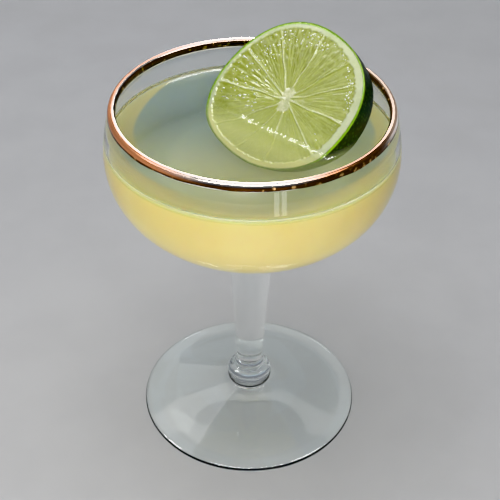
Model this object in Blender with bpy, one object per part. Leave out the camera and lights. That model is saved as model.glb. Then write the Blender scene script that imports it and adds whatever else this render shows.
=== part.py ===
"""Daiquiri in a stemmed coupe glass, with a gold band over the lip and a thick wheel of lime.

Metres, +Z up. The origin is the middle of the foot's resting ring, on the surface it stands on.
+X is the viewer's right and -Y is the viewer's side, for someone who faces the lime's cut face.
Four separate pieces:
  glass       bowl, stem, small ring, collar and foot, one turned body
  gold_band   thin metal band folded over the lip
  drink       the liquid, up to its level, cut round the lime
  lime_wheel  slice of lime that leans on the lip at the back, with its lower edge in the drink
"""
import math

import bmesh
import bpy
from mathutils import Euler, Matrix, Vector

MM = 0.001
GAP = 0.3 * MM               # clearance between pieces that touch
FACETS = 48                  # facets round every turned piece
WELD = 0.001 * MM            # merges the points that a spin leaves on the axis

# Bowl of the glass: an upright superellipse up to its widest level, then a shoulder in to the lip
HEIGHT = 126.8 * MM
RIM_RADIUS = 45.0 * MM       # outer radius of the lip
LIP_RADIUS = 1.3 * MM        # the lip is a rounded bead, twice this thick
BULGE_RADIUS = 47.35 * MM    # widest part of the bowl
BULGE_Z = 111.0 * MM
BOWL_BOTTOM_Z = 77.3 * MM    # where the bowl's outer curve would meet the axis
BOWL_POWER = 2.125
SHOULDER_POWER = 1.5
WALL = 1.5 * MM
BOWL_FLOOR = 3.0 * MM        # glass under the middle of the drink
BEAD_BASE_Z = HEIGHT - 6.5 * MM
LIP_Z = HEIGHT - LIP_RADIUS

# Stem, small ring, collar and foot
STEM_BOTTOM_Z = 19.9 * MM
STEM_TOP_Z = 58.0 * MM
STEM_BOTTOM_RADIUS = 4.6 * MM
STEM_TOP_RADIUS = 7.05 * MM
FLARE_RADIUS = 16.0 * MM     # where the stem's flare runs into the bowl
RING_RADIUS = 5.7 * MM
RING_Z = 17.8 * MM
RING_HALF_HEIGHT = 1.5 * MM
NECK_RADIUS = 4.2 * MM       # groove between stem and ring
COLLAR_RADIUS = 8.0 * MM
COLLAR_Z = 12.5 * MM
COLLAR_HALF_HEIGHT = 3.6 * MM
COLLAR_SQUARENESS = 0.65    # below 1 the collar is more of a drum than a ball
FOOT_RADIUS = 39.2 * MM
FOOT_EDGE = 1.7 * MM         # thickness of the foot at its rim
FOOT_TOP_Z = 8.6 * MM        # top of the foot where it meets the collar
FOOT_TOP_RADIUS = 7.0 * MM
FOOT_POWER = 1.3
REST_OUTER_RADIUS = 38.0 * MM    # flat ring that the foot stands on
REST_INNER_RADIUS = 33.0 * MM
UNDERSIDE_RISE = 3.2 * MM

# Points along the curved outlines
LIP_STEPS = 5
BOWL_STEPS = 9
MOULDING_STEPS = 8

# Gold band
FILM = 0.3 * MM
BAND_OUTSIDE = 2.0 * MM      # depth of the band below the lip, outside and inside
BAND_INSIDE = 3.0 * MM

# Drink
LEVEL_Z = 114.0 * MM

# Lime wheel: its own Z is the normal of the upper cut face, whose middle is its origin
LIME_RADIUS = 27.6 * MM
LIME_THICKNESS = 9.0 * MM
LIME_CENTRE = (9.5 * MM, 13.0 * MM, 121.1 * MM)
LIME_LEAN = math.radians(40.3)
LIME_TURN = math.radians(-41.5)
LIME_UNEVEN = ((3, 0.007, 158.5), (4, 0.021, -115.5))    # waves round the rind, share, phase
RIND_BULGE = 0.012
RIND_ROUNDING = 0.5 * MM
MEMBRANES = (1, 32, 54, 86, 125, 154, 187, 230, 260, 289, 328)    # degrees round the wheel
PULP_SHARE = 0.88            # radius of the pulp, as a share of the wheel's
PULP_SLOPE = 0.07            # its edges slope over this share
MEMBRANE_SLOPE = 1.6 * MM    # and over this far from each membrane
PULP_DEPTH = 0.3 * MM        # how far the pulp lies below the membranes and the pith
CORE_SHARE = 0.1
GRAIN = 0.08 * MM            # height of the juice sacs
SACS_ROUND = 23              # waves of sacs round the face, along its radius, and their twist
SACS_ALONG = 6.5
SACS_TWIST = 1.4
LIME_SIDES = 64
FACE_RINGS = (0.05, 0.11, 0.22, 0.38, 0.55, 0.72, 0.86, 0.92)
RIND_STEPS = 4

COLOURS = {
    "glass": ((0.90, 0.94, 0.95), 0.03, 0.0),
    "gold_band": ((0.62, 0.36, 0.20), 0.18, 1.0),
    "drink": ((0.66, 0.60, 0.24), 0.15, 0.0),
    "lime_wheel": ((0.42, 0.52, 0.10), 0.35, 0.0),
}


def steps(first, last, count):
    """count + 1 evenly spaced values from first to last."""
    return [first + (last - first) * i / count for i in range(count + 1)]


def smooth(value):
    value = min(max(value, 0.0), 1.0)
    return value * value * (3.0 - 2.0 * value)


# ---- outlines of the turned pieces, as (radius, height) ----

def outer_radius(z):
    """Outer radius of the bowl, between its widest level and the lip."""
    share = (z - BULGE_Z) / (LIP_Z - BULGE_Z)
    return BULGE_RADIUS - (BULGE_RADIUS - RIM_RADIUS) * share ** SHOULDER_POWER


def inner_radius(z):
    """Inner radius of the bowl there: the wall thickens into the bead of the lip."""
    bead = smooth((z - BEAD_BASE_Z) / (LIP_Z - BEAD_BASE_Z))
    return outer_radius(z) - WALL - (2.0 * LIP_RADIUS - WALL) * bead


def bowl_point(angle, radius, bottom_z):
    """Point of the superellipse, from the axis (angle 0) to the widest level (90 degrees)."""
    power = 2.0 / BOWL_POWER
    return (radius * math.sin(angle) ** power,
            BULGE_Z - (BULGE_Z - bottom_z) * math.cos(angle) ** power)


def bowl_curve(first, radius, bottom_z, count):
    return [bowl_point(a, radius, bottom_z) for a in steps(first, math.pi / 2.0, count)]


def lip_curve(inset, low_outside, low_inside, count):
    """Up the outside, over the bead and down the inside, at a distance inside the surface."""
    outside = [(outer_radius(z) - inset, z) for z in steps(low_outside, LIP_Z, 1)]
    middle = RIM_RADIUS - LIP_RADIUS
    bead = LIP_RADIUS - inset
    over = [(middle + bead * math.cos(a), LIP_Z + bead * math.sin(a))
            for a in steps(0.0, math.pi, count)[1:-1]]
    inside = [(inner_radius(z) + inset, z) for z in steps(LIP_Z, low_inside, 2)]
    return outside + over + inside


def bead_curve(radius, z, half_height, root, angles, count, power=1.0):
    """Rounded moulding, bottom to top: a superellipse standing out from a root radius."""
    first, last = (math.radians(a) for a in angles)
    return [(root + (radius - root) * math.cos(a) ** power,
             z + half_height * math.copysign(abs(math.sin(a)) ** power, a))
            for a in steps(first, last, count)]


def foot_top(radius):
    share = (FOOT_RADIUS - radius) / (FOOT_RADIUS - FOOT_TOP_RADIUS)
    return FOOT_EDGE + (FOOT_TOP_Z - FOOT_EDGE) * share ** FOOT_POWER


def foot_outline():
    """From the middle of the underside out to the rim and back over the top."""
    underside = [(r, UNDERSIDE_RISE * (1.0 - (r / REST_INNER_RADIUS) ** 2))
                 for r in steps(0.0, REST_INNER_RADIUS, 3)]
    half = FOOT_EDGE / 2.0
    rim = [(FOOT_RADIUS - half + half * math.cos(a), half + half * math.sin(a))
           for a in steps(-math.pi / 3.0, math.pi / 2.0, 3)]
    top = [(r, foot_top(r)) for r in steps(FOOT_RADIUS - half, FOOT_TOP_RADIUS, 6)[1:]]
    return underside + [(REST_OUTER_RADIUS, 0.0)] + rim + top


def stem_outline():
    """Collar, small ring, tapered stem and the flare into the bowl, bottom to top."""
    collar = bead_curve(COLLAR_RADIUS, COLLAR_Z, COLLAR_HALF_HEIGHT, NECK_RADIUS, (-70, 80), MOULDING_STEPS,
                        COLLAR_SQUARENESS)
    ring = bead_curve(RING_RADIUS, RING_Z, RING_HALF_HEIGHT, NECK_RADIUS, (-55, 75),
                      MOULDING_STEPS // 2)
    foot_of_stem = [(STEM_BOTTOM_RADIUS - 0.3 * MM, STEM_BOTTOM_Z),
                    (STEM_BOTTOM_RADIUS, STEM_BOTTOM_Z + 0.6 * MM)]
    flare_angle = math.asin((FLARE_RADIUS / BULGE_RADIUS) ** (BOWL_POWER / 2.0))
    flare_end = bowl_point(flare_angle, BULGE_RADIUS, BOWL_BOTTOM_Z)
    flare = [(FLARE_RADIUS - (FLARE_RADIUS - STEM_TOP_RADIUS) * math.cos(a),
              STEM_TOP_Z + (flare_end[1] - STEM_TOP_Z) * math.sin(a))
             for a in steps(0.0, math.pi / 2.0, 6)]
    bowl = bowl_curve(flare_angle, BULGE_RADIUS, BOWL_BOTTOM_Z, BOWL_STEPS - 1)[1:]
    return collar + ring + foot_of_stem + flare + bowl


def inside_outline(clearance, top_z, count):
    """Inner surface of the bowl, from the axis up to a height, at a clearance inside it."""
    radius = BULGE_RADIUS - WALL - clearance
    bottom = BOWL_BOTTOM_Z + BOWL_FLOOR + clearance
    wall = [(inner_radius(z) - clearance, z) for z in steps(BULGE_Z, top_z, 3)[1:]]
    return bowl_curve(0.0, radius, bottom, count) + wall


def glass_outline():
    """One closed outline, axis to axis. Its lip is thinner by the band and the gap under it."""
    inset = FILM + GAP
    shoulder_outside = HEIGHT - BAND_OUTSIDE - GAP
    shoulder_inside = HEIGHT - BAND_INSIDE - GAP
    below = [(outer_radius(z), z) for z in steps(BULGE_Z, shoulder_outside, 3)[1:]]
    lip = lip_curve(inset, shoulder_outside, shoulder_inside, LIP_STEPS)
    inside = inside_outline(0.0, shoulder_inside, BOWL_STEPS)
    return foot_outline() + stem_outline() + below + lip + inside[::-1]


def band_outline():
    low_outside = HEIGHT - BAND_OUTSIDE
    low_inside = HEIGHT - BAND_INSIDE
    skin = lip_curve(0.0, low_outside, low_inside, LIP_STEPS + 1)
    return skin + lip_curve(FILM, low_outside, low_inside, LIP_STEPS + 1)[::-1]


def drink_outline():
    """Wall of the bowl less the gap, up to the level, then the flat surface."""
    return inside_outline(GAP, LEVEL_Z, BOWL_STEPS + 1) + [(0.0, LEVEL_Z)]


# ---- objects ----

def material_for(name):
    colour, roughness, metallic = COLOURS[name]
    material = bpy.data.materials.new(name)
    material.use_nodes = True
    shader = material.node_tree.nodes["Principled BSDF"]
    shader.inputs["Base Color"].default_value = (*colour, 1.0)
    shader.inputs["Roughness"].default_value = roughness
    shader.inputs["Metallic"].default_value = metallic
    return material


def object_from(name, mesh_data, sharp_angle=40.0):
    bmesh.ops.recalc_face_normals(mesh_data, faces=mesh_data.faces)
    mesh = bpy.data.meshes.new(name)
    mesh_data.to_mesh(mesh)
    mesh_data.free()
    mesh.shade_smooth()
    mesh.set_sharp_from_angle(angle=math.radians(sharp_angle))
    result = bpy.data.objects.new(name, mesh)
    bpy.context.scene.collection.objects.link(result)
    if name in COLOURS:
        mesh.materials.append(material_for(name))
    return result


def turned(name, outline, is_ring=False):
    """Spin an outline once round Z. A ring's outline closes on itself, away from the axis."""
    spun = bmesh.new()
    points = [spun.verts.new((r, 0.0, z)) for r, z in outline]
    edges = [spun.edges.new(pair) for pair in zip(points, points[1:])]
    if is_ring:
        edges.append(spun.edges.new((points[-1], points[0])))
    bmesh.ops.spin(spun, geom=points + edges, axis=(0, 0, 1), cent=(0, 0, 0),
                   angle=2.0 * math.pi, steps=FACETS, use_merge=True)
    bmesh.ops.remove_doubles(spun, verts=spun.verts, dist=WELD)
    return object_from(name, spun)


def rind_radius(angle):
    """Radius of the wheel round its edge, with the slight waves of a real fruit."""
    waves = sum(share * math.cos(count * angle + math.radians(phase))
                for count, share, phase in LIME_UNEVEN)
    return LIME_RADIUS * (1.0 + waves)


def face_sink(angle, share):
    """How far the cut face lies below its pith: pulp between membranes, and the open core."""
    degrees = math.degrees(angle) % 360.0
    nearest = min(abs((degrees - m + 180.0) % 360.0 - 180.0) for m in MEMBRANES)
    off_membrane = smooth(math.radians(nearest) * share * LIME_RADIUS / MEMBRANE_SLOPE)
    from_core = smooth((share - CORE_SHARE) / PULP_SLOPE)
    from_pith = smooth((PULP_SHARE - share) / PULP_SLOPE + 0.3)
    round_wave = math.sin(SACS_ROUND * angle + 2.0 * math.pi * SACS_TWIST * share)
    grain = GRAIN * round_wave * math.sin(2.0 * math.pi * SACS_ALONG * share)
    core = PULP_DEPTH * smooth((CORE_SHARE - share) / PULP_SLOPE)
    return from_core * from_pith * (PULP_DEPTH * off_membrane + grain) + core


def wheel_rings():
    """Rings of (radius share, depth below the upper face, relief sign), face to back."""
    upper = [(share, 0.0, 1.0) for share in FACE_RINGS]
    rind = []
    for i in range(RIND_STEPS + 1):
        depth = RIND_ROUNDING + (LIME_THICKNESS - 2.0 * RIND_ROUNDING) * i / RIND_STEPS
        bulge = RIND_BULGE * math.sin(math.pi * depth / LIME_THICKNESS)
        rind.append((1.0 + bulge, depth, 0.0))
    edge_share = 1.0 - RIND_ROUNDING / LIME_RADIUS
    lower = [(share, LIME_THICKNESS, -1.0) for share in reversed(FACE_RINGS)]
    return (upper + [(edge_share, 0.0, 0.0)] + rind
            + [(edge_share, LIME_THICKNESS, 0.0)] + lower)


def wheel(name, swell=0.0, relief=True):
    """The slice in its own axes. A swell makes it larger by that much on every side."""
    mesh_data = bmesh.new()
    angles = [2.0 * math.pi * i / LIME_SIDES for i in range(LIME_SIDES)]
    rows = []
    for share, depth, sign in wheel_rings():
        row = []
        for angle in angles:
            radius = rind_radius(angle) * share * (1.0 + swell / LIME_RADIUS)
            sink = face_sink(angle, share) * sign if relief else 0.0
            middle = LIME_THICKNESS / 2.0
            stretch = 1.0 + swell / middle
            z = -middle - (depth - middle) * stretch - sink
            row.append(mesh_data.verts.new((radius * math.cos(angle), radius * math.sin(angle), z)))
        rows.append(row)
    for upper, lower in zip(rows, rows[1:]):
        for i in range(LIME_SIDES):
            j = (i + 1) % LIME_SIDES
            mesh_data.faces.new((upper[i], upper[j], lower[j], lower[i]))
    for row in (rows[0], rows[-1]):
        middle = mesh_data.verts.new(sum((v.co for v in row), Vector()) / LIME_SIDES)
        for i in range(LIME_SIDES):
            mesh_data.faces.new((row[i], row[(i + 1) % LIME_SIDES], middle))
    place = Matrix.Translation(LIME_CENTRE) @ Euler((LIME_LEAN, 0.0, LIME_TURN)).to_matrix().to_4x4()
    result = object_from(name, mesh_data)
    result.matrix_world = place
    return result


def cut_round(solid, cutter):
    """Leave the cutter's space out of a solid, and keep the cutter out of sight."""
    cutter.hide_render = True
    cutter.display_type = "WIRE"
    cut = solid.modifiers.new("round_the_lime", "BOOLEAN")
    cut.operation = "DIFFERENCE"
    cut.solver = "EXACT"
    cut.object = cutter


def clear_scene():
    for item in list(bpy.data.objects):
        bpy.data.objects.remove(item, do_unlink=True)


def build():
    clear_scene()
    turned("glass", glass_outline())
    turned("gold_band", band_outline(), is_ring=True)
    drink = turned("drink", drink_outline())
    wheel("lime_wheel")
    cut_round(drink, wheel("lime_space", swell=GAP + GRAIN, relief=False))


build()
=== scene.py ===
"""Looks of the daiquiri: glass with a gilded lip, cloudy drink, clear liquid on top, wheel of lime.

Metres, +Z up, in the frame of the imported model. Lengths are written in millimetres times MM. A mask is
a share from 0 to 1 at each point, which a material mixes colours by. A span gives the values of a
coordinate at which a mask begins and is full.
"""
import math
import random

import bpy
import numpy as np
from mathutils import Euler, Matrix, Vector, noise


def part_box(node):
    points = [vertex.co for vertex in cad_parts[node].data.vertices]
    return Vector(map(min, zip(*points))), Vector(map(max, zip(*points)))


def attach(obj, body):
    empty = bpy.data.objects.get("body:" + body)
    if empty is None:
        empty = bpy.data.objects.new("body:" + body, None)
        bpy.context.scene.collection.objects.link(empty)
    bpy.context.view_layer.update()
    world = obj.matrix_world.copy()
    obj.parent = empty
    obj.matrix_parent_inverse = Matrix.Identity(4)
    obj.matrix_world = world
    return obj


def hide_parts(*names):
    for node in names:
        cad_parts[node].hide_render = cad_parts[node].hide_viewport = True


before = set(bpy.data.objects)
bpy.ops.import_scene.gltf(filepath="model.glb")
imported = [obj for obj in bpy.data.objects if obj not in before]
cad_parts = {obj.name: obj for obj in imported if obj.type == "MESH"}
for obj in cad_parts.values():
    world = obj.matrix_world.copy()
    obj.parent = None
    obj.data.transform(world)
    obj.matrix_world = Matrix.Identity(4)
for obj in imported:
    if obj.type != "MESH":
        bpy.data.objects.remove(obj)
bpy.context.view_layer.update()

MM = 0.001
TURN = 2.0 * math.pi

# Bowl of the glass: an upright superellipse up to its widest level, then a shoulder in to the lip
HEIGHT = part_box("gold_band")[1].z
RIM_RADIUS = 45.0 * MM
LIP_RADIUS = 1.3 * MM
BULGE_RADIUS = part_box("glass")[1].x
BULGE_Z = 111.0 * MM
BOWL_BOTTOM_Z = 77.3 * MM
BOWL_POWER = 2.125
SHOULDER_POWER = 1.5
WALL = 1.5 * MM
BOWL_FLOOR = 3.0 * MM
BEAD_BASE_Z = HEIGHT - 6.5 * MM
LIP_Z = HEIGHT - LIP_RADIUS

# Stem, small ring, collar and foot
STEM_BOTTOM_Z = 19.9 * MM
STEM_TOP_Z = 58.0 * MM
STEM_BOTTOM_RADIUS = 4.6 * MM
STEM_TOP_RADIUS = 7.05 * MM
STEM_EDGE = 0.3 * MM
FLARE_RADIUS = 16.0 * MM
RING_RADIUS = 5.7 * MM
RING_Z = 17.8 * MM
RING_HALF_HEIGHT = 1.5 * MM
RING_SWEEP = (-65, 80)       # degrees of its section, from below to above
NECK_RADIUS = 4.2 * MM
COLLAR_RADIUS = 8.0 * MM
COLLAR_Z = 12.5 * MM
COLLAR_HALF_HEIGHT = 3.6 * MM
COLLAR_SQUARENESS = 0.65
COLLAR_SWEEP = (-70, 80)
FOOT_RADIUS = 39.2 * MM
FOOT_EDGE = 1.7 * MM
FOOT_TOP_Z = 8.6 * MM
FOOT_TOP_RADIUS = 7.0 * MM
FOOT_POWER = 1.3
REST_OUTER_RADIUS = 38.0 * MM
REST_INNER_RADIUS = 33.0 * MM
UNDERSIDE_RISE = 3.2 * MM
AXIS_RADIUS = 0.05 * MM      # the outline begins this far from the axis
GLASS_SIDES = 256

# Gilding
FILM = 0.2 * MM
UNDER_FILM = 0.04 * MM       # the glass lies this far inside the gilding's outer surface
BAND_OUTSIDE = 2.0 * MM
BAND_INSIDE = 3.0 * MM
BAND_WAVE = 0.12 * MM        # unevenness of its brushed edges
OUTSIDE_WAVES = 6.0          # radius of their circle through the noise, and with it how many
INSIDE_WAVES = 5.0
BAND_BEVEL = 0.12 * MM
GILDING_SIDES = 576

# Where the gilding's colours lie, most of them painted reflection and painted highlight: spans of depth under
# the crest, across the lip and round it
FLANK_START = (0.25 * MM, 0.05 * MM)      # depth at which the flank's painted dark reflection begins, outside and inside
FLANK_FADE = (0.8 * MM, 0.3 * MM)         # and how softly
INSIDE_FADE = (0.0, 0.3 * MM)             # inward from the lip's middle
INSIDE_LEAN = 0.7 * MM                    # which lies this far out below LEAN_DEPTH
LEAN_DEPTH = (0.0, 2.0 * MM)
COPPER_SIDE = (10.0 * MM, 30.0 * MM)      # to the left: painted copper reflection in place of the dark
COPPER_ACROSS = (-0.35, -0.10)            # in lip radii from the middle of the lip, outward
COPPER_END = (1.1 * MM, 1.6 * MM)
BROWN_SIDE = (8.0 * MM, 24.0 * MM)        # to the right, painted reflection: brown in front, tan behind
BEHIND = (-26.0 * MM, -10.0 * MM)
PAINTED_HIGHLIGHT_DEPTH = (BAND_INSIDE - 0.7 * MM, BAND_INSIDE - 0.5 * MM)    # painted highlight: the bright lower edge inside
EDGE_ACROSS = (0.6, 0.75)                 # painted highlight: the bright outer edge behind on the right
EDGE_END = (1.2 * MM, 1.6 * MM)
# how much whiter the crest is painted off the right side, as a painted highlight
PALE_SHARE = 0.85

# Drink
LEVEL_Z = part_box("drink")[1].z
INTO_WALL = 0.05 * MM
INNER_RADIUS = BULGE_RADIUS - WALL
FLAT_Z = LEVEL_Z - 1.0 * MM  # the liquid is drawn up to its level, and past it at the wall
WALL_RISE = 2.9 * MM
WALL_REACH = 2.3 * MM
LIME_RISE = 1.5 * MM
LIME_SLOPE = 0.93            # it leaves the lime this steeply, as far down as LIME_STEADY
LIME_STEADY = 1.05 * MM
CLOUD_RISE = (1.3 * MM, 2.6 * MM)     # the cloud in it is drawn up less, behind and in front
CLOUD_REACH = 2.0 * MM
CLEAR_DEPTH = 12.0 * MM      # depth at which the cloud hides what lies under the surface
CLEAR_REACH = 20.0 * MM      # how far from the wall it takes to get that deep
SKIN = 0.12 * MM             # the cloud's top lies this much lower, and the clear liquid's underside
UNDERSIDE_SKINS = 3.0        # three times as much, so that no gap shows between them
RIPPLE_HEIGHT = 0.01 * MM
RIPPLE_LENGTHS = (3.1 * MM, 6.0 * MM)
RIPPLES = (0.0, 4.0 * MM)    # span, by distance from the wall
WEAK_RISE = 0.6              # factor on how high it is drawn up at the lime's left
WEAK_SIDE = (-7.0 * MM, 0.0)
UNEVEN_RISE = 0.12           # share by which that goes up and down along the lime
UNEVEN_SIZE = 2.6 * MM
RING_CROWDING = 1.3          # the rings of points lie closer towards the wall
CLOUD_SIDES = 192
SURFACE_SIDES = 576

# Spans of the cloud's colours, painted light and painted shade among them
FRONT = (-10.0 * MM, 30.0 * MM)           # towards the camera
GREY_CIRCLES = ((8.0 * MM, 6.0 * MM, 47.3 * MM), (-6.0 * MM, 4.0 * MM, 46.5 * MM))    # x, y, radius
GREY_EDGE = (1.0 * MM, 20.0 * MM)         # it is grey inside both; how softly, behind and in front
UNLIT = (3.0 * MM, 18.0 * MM)             # from the wall: painted light on the top in front, fading out between these
WARM = (-28.0 * MM, 0.0)                  # from left to right
WARM_END = (14.0 * MM, 28.0 * MM)
SHADE = (-20.0 * MM, 30.0 * MM)           # away from the camera: painted shade, bluish as a painted reflection of the window
FADED = (0.0, 15.0 * MM)                  # to either side

# Lime wheel: its own Z is the normal of the upper cut face, whose middle is its origin
LIME_RADIUS = 27.6 * MM
LIME_INSET = 0.22 * MM       # its fine surface lies this far inside the solid's
LIME_THICKNESS = 9.0 * MM
LIME_PLACE = (Matrix.Translation((9.5 * MM, 13.0 * MM, 121.1 * MM))
              @ Euler((math.radians(40.3), 0.0, math.radians(-41.5))).to_matrix().to_4x4())
LIME_UNEVEN = ((3, 0.007, 158.5), (4, 0.021, -115.5))    # waves round it, share of radius, degrees
RIND_BULGE = 0.008           # share of the radius, half way between the faces
RIND_ROUNDING = 0.5 * MM
MEMBRANES = ((1, 0.9), (32, 0.6), (54, 0.35), (87, 1.0), (125, 0.9), (155, 1.0), (187, 0.9),
             (228, 0.9), (260, 0.5), (289, 0.7), (328, 1.0))    # direction, and how clearly it shows
PULP_SHARE = 0.905
PULP_SWING = 0.018           # the pith is thinnest towards THIN_PITH
THIN_PITH = 165
PULP_DEPTH = 0.22 * MM
CORE = np.array((1.4, 0.3)) * MM
CORE_LOBES = ((1.0, 2.1, 2.1), (1.6, -1.9, 2.2))    # x, y and radius in millimetres
CORE_DEPTH = 0.15 * MM
CORE_EDGE = 0.8 * MM
CORE_ROUGHNESS = 0.5 * MM
PITH_ROUGHNESS = 0.3 * MM
PITH_EDGE = 0.9 * MM
ROUGH_SIZE = 1.1 * MM
WAVE_HEIGHT = 0.35 * MM      # how far membranes sway, and over what lengths
WAVE_LENGTHS = (2.3 * MM, 3.1 * MM)
MEMBRANE_HALF = (0.10 * MM, 0.5 * MM, 0.2 * MM)     # half width, and what core and pith add to it
MEMBRANE_SPREAD = 2.5 * MM   # how far from the core it widens
MEMBRANE_FADE = 6.0 * MM     # and how far from it a faint one is still clear
MEMBRANE_BLUR = 0.16 * MM
PULP_EDGE = 0.5 * MM
PULP_CORNERS = 1.1 * MM
SAC_LENGTH = 4.5 * MM
SAC_BEND_LENGTH = 5.0 * MM
SACS_ROUND = 64
SAC_HEIGHT = 0.09 * MM
SAC_GROWTH = 11.0 * MM       # distance from the core at which they stand out fully
FIBRE_LENGTH = 9.0 * MM
FIBRES_ROUND = 34.0
FIBRE_HEIGHT = 0.035 * MM
ROUGH_SIDE = 155             # the sacs stand out most in this direction
PORE_SIZE = 1.1 * MM
PORE_DEPTH = 0.07 * MM
GREEN_EDGE = (0.1 * MM, 0.5 * MM)         # on the rind: thinnest and thickest
GREEN_FADE = 0.9 * MM
GREEN_SHARE = (0.985, 0.952)              # on the cut faces it begins at these shares of the radius
GREEN_FACE_FADE = 0.02
HIGH = (0.0, 22.0 * MM)                   # above the level
UNDER = (-1.2 * MM, 4.8 * MM)             # below it
UNDER_SHARE = 0.9
BEADS = 340
BEAD_RADII = (0.13, 0.33)    # in millimetres
BEAD_SINK = 0.12 * MM
BEAD_HEIGHT = 0.75           # in radii, above its middle and below it
BEAD_BASE = 0.3
BEAD_CLEAR = 2.0 * MM        # none lies lower than this above the level
# direction and spread in degrees, nearest and farthest share of the radius, greatest stretch
BEAD_SECTORS = ((132, 24, 0.55, 0.88, 1.2), (168, 18, 0.35, 0.85, 1.6), (205, 15, 0.30, 0.85, 2.6),
                (95, 18, 0.70, 0.89, 1.2), (322, 12, 0.45, 0.85, 2.6), (30, 30, 0.78, 0.88, 1.0))
DARK_SIDE = -25              # the bright green edge is thinnest in this direction
LIME_SIDES = 576
LIME_MASKS = ("pulp", "core", "sac", "sac_edge", "fibre", "outer", "membrane", "rind", "side", "pore")

# Room
FLOOR_Z = -0.05 * MM         # clear of the foot's resting ring
FLOOR_HALF = 1.6
WHITE = (1.0, 1.0, 1.0)
DAYLIGHT = (1.0, 0.98, 0.95)
STRIPS = (((0.067, -0.236), 0.007), ((0.0866, -0.229), 0.0091))     # x and y, and x they aim at
STRIP_AIM_Y = -0.045
STRIP_Z = 0.073

# Camera
CAMERA_PLACE = (-0.322 * MM, -291.7 * MM, 297.6 * MM)
CAMERA_PITCH = math.radians(38.076)
CAMERA_ROLL = 0.0127
CAMERA_LENS = 77.87
SENSOR = 36.0


def smooth(value):
    """Smoothstep of a value that is held between 0 and 1."""
    value = np.clip(value, 0.0, 1.0)
    return value * value * (3.0 - 2.0 * value)


def rising(value, span):
    """0 up to the start of a span, 1 from its end, smooth between."""
    first, last = span
    return smooth((value - first) / (last - first))


def blend(low, high, share):
    return low + (high - low) * share


def steps(first, last, count):
    """Evenly spaced values from first to last, both ends among them."""
    return [first + (last - first) * i / count for i in range(count + 1)]


# ---- meshes ----

def piece(name, points, faces, material, attributes=None):
    """Smooth closed mesh object, its faces turned outward."""
    corners = points[np.array([f[:3] for f in faces])]
    volume = np.einsum("ij,ij->", corners[:, 0], np.cross(corners[:, 1], corners[:, 2]))
    if volume < 0.0:
        faces = [f[::-1] for f in faces]
    mesh = bpy.data.meshes.new(name)
    mesh.from_pydata(points.tolist(), [], faces)
    mesh.shade_smooth()
    for key, values in (attributes or {}).items():
        layer = mesh.attributes.new(key, "FLOAT", "POINT")
        layer.data.foreach_set("value", np.asarray(values, np.float32).ravel())
    mesh.materials.append(material)
    made = bpy.data.objects.new(name, mesh)
    bpy.context.scene.collection.objects.link(made)
    return made


def grid_faces(rows, columns, ring=False):
    """Quads of rows of points that close round. The rows of a ring close on each other too."""
    faces = []
    for i in range(rows if ring else rows - 1):
        a = i * columns
        b = (i + 1) % rows * columns
        for j in range(columns):
            k = (j + 1) % columns
            faces.append((a + j, a + k, b + k, b + j))
    return faces


def capped(grid):
    """Points and faces of a rows x columns x 3 grid, with a middle point at either end."""
    rows, columns = grid.shape[:2]
    points = np.concatenate([grid.reshape(-1, 3), [grid[0].mean(0)], [grid[-1].mean(0)]])
    faces = grid_faces(rows, columns)
    first, last = rows * columns, rows * columns + 1
    base = (rows - 1) * columns
    for j in range(columns):
        k = (j + 1) % columns
        faces.append((first, k, j))
        faces.append((last, base + j, base + k))
    return points, faces


def around(count):
    """Directions of the points of a ring."""
    return np.arange(count) * TURN / count


def lathe(outline, count):
    """Grid of an outline of (radius, height) turned round Z."""
    angles = around(count)
    r, z = np.array(outline).T
    return np.stack([np.outer(r, np.cos(angles)), np.outer(r, np.sin(angles)),
                     np.repeat(z[:, None], count, 1)], -1)


# ---- outlines of the turned pieces, as (radius, height) ----

def outer_radius(z):
    """Radius of the shoulder outside, from its widest level up to the lip."""
    share = (z - BULGE_Z) / (LIP_Z - BULGE_Z)
    return BULGE_RADIUS - (BULGE_RADIUS - RIM_RADIUS) * share ** SHOULDER_POWER


def inner_radius(z):
    """Radius inside, where the wall thickens to the bead of the lip."""
    bead = smooth((z - BEAD_BASE_Z) / (LIP_Z - BEAD_BASE_Z))
    return outer_radius(z) - WALL - (2.0 * LIP_RADIUS - WALL) * bead


def bowl_point(angle, radius, bottom_z):
    """A point of the superellipse, its angle counted from straight down."""
    power = 2.0 / BOWL_POWER
    return (radius * math.sin(angle) ** power,
            BULGE_Z - (BULGE_Z - bottom_z) * max(math.cos(angle), 0.0) ** power)


def bowl_curve(first, radius, bottom_z, count):
    return [bowl_point(a, radius, bottom_z) for a in steps(first, math.pi / 2.0, count)]


def lip_curve(inset, low_outside, low_inside, count=32):
    """Up the outside, over the bead and down the inside, at a distance inside the surface."""
    outside = [(outer_radius(z) - inset, z) for z in steps(low_outside, LIP_Z, count // 4)]
    middle = RIM_RADIUS - LIP_RADIUS
    bead = LIP_RADIUS - inset
    over = [(middle + bead * math.cos(a), LIP_Z + bead * math.sin(a))
            for a in steps(0.0, math.pi, count)[1:-1]]
    inside = [(inner_radius(z) + inset, z) for z in steps(LIP_Z, low_inside, count // 4)]
    return outside + over + inside


def bead_curve(radius, z, half_height, sweep, count, power=1.0):
    """A bulge on the neck, its section squarer the lower the power."""
    first, last = (math.radians(a) for a in sweep)
    return [(NECK_RADIUS + (radius - NECK_RADIUS) * math.cos(a) ** power,
             z + half_height * math.copysign(abs(math.sin(a)) ** power, a))
            for a in steps(first, last, count)]


def foot_top(radius):
    share = (FOOT_RADIUS - radius) / (FOOT_RADIUS - FOOT_TOP_RADIUS)
    return FOOT_EDGE + (FOOT_TOP_Z - FOOT_EDGE) * share ** FOOT_POWER


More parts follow.
